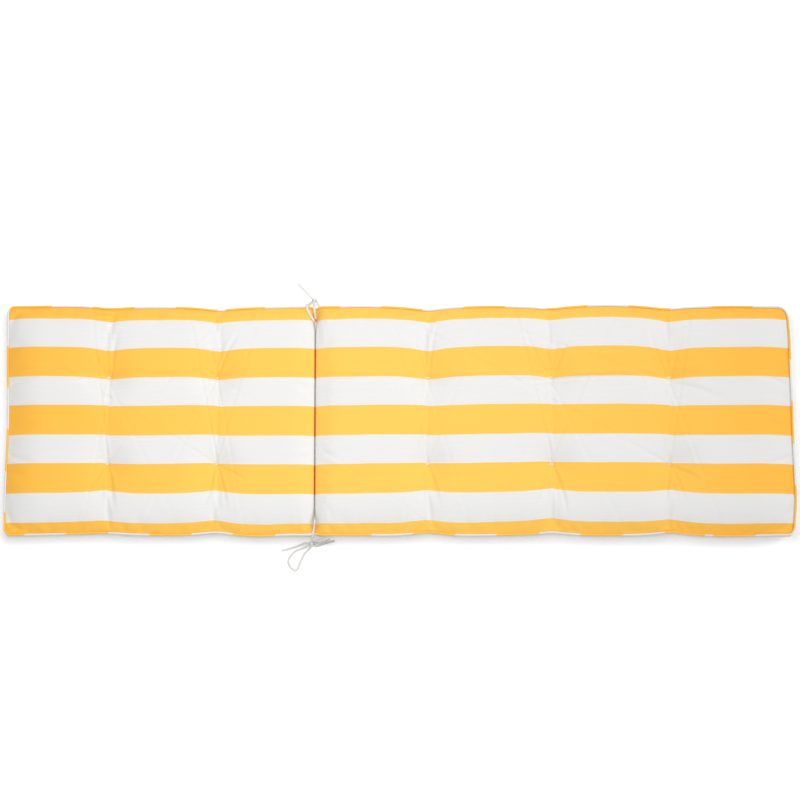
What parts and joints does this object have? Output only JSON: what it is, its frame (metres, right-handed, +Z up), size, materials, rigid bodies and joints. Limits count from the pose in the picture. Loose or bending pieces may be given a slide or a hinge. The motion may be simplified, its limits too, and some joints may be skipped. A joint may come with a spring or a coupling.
{
  "type": "garden cushion",
  "caption": "Long striped sun lounger cushion in two filled pads with a sewn hinge, tufts, piped top edge and tape ties at the hinge.",
  "frame": {"origin": "on the floor under the middle of the cushion", "axes": "+X along the cushion from the short pad to the long pad, +Z up, -Y towards the side where the bow lies"},
  "size_m": [2.005, 0.7463, 0.068],
  "materials": {
    "striped_cloth": "woven cotton-blend cloth with lengthwise yellow and white awning stripes, matt",
    "bias_cloth": "the same striped cloth cut on the slant round a cord, so the yellow and white take turns",
    "white_tape": "narrow woven white cotton tape, matt"
  },
  "bodies": {
    "root": {"cushion": "striped_cloth", "piping": "bias_cloth", "knot_near": "white_tape", "knot_far": "white_tape", "tie_near_root": "white_tape", "tie_near_tail_left": "white_tape", "tie_near_loop_left": "white_tape", "tie_near_loop_right": "white_tape", "tie_near_tail_right": "white_tape", "tie_far_arm_left": "white_tape", "tie_far_arm_middle": "white_tape", "tie_far_arm_right": "white_tape", "tie_far_tail": "white_tape"}
  },
  "joints": []
}
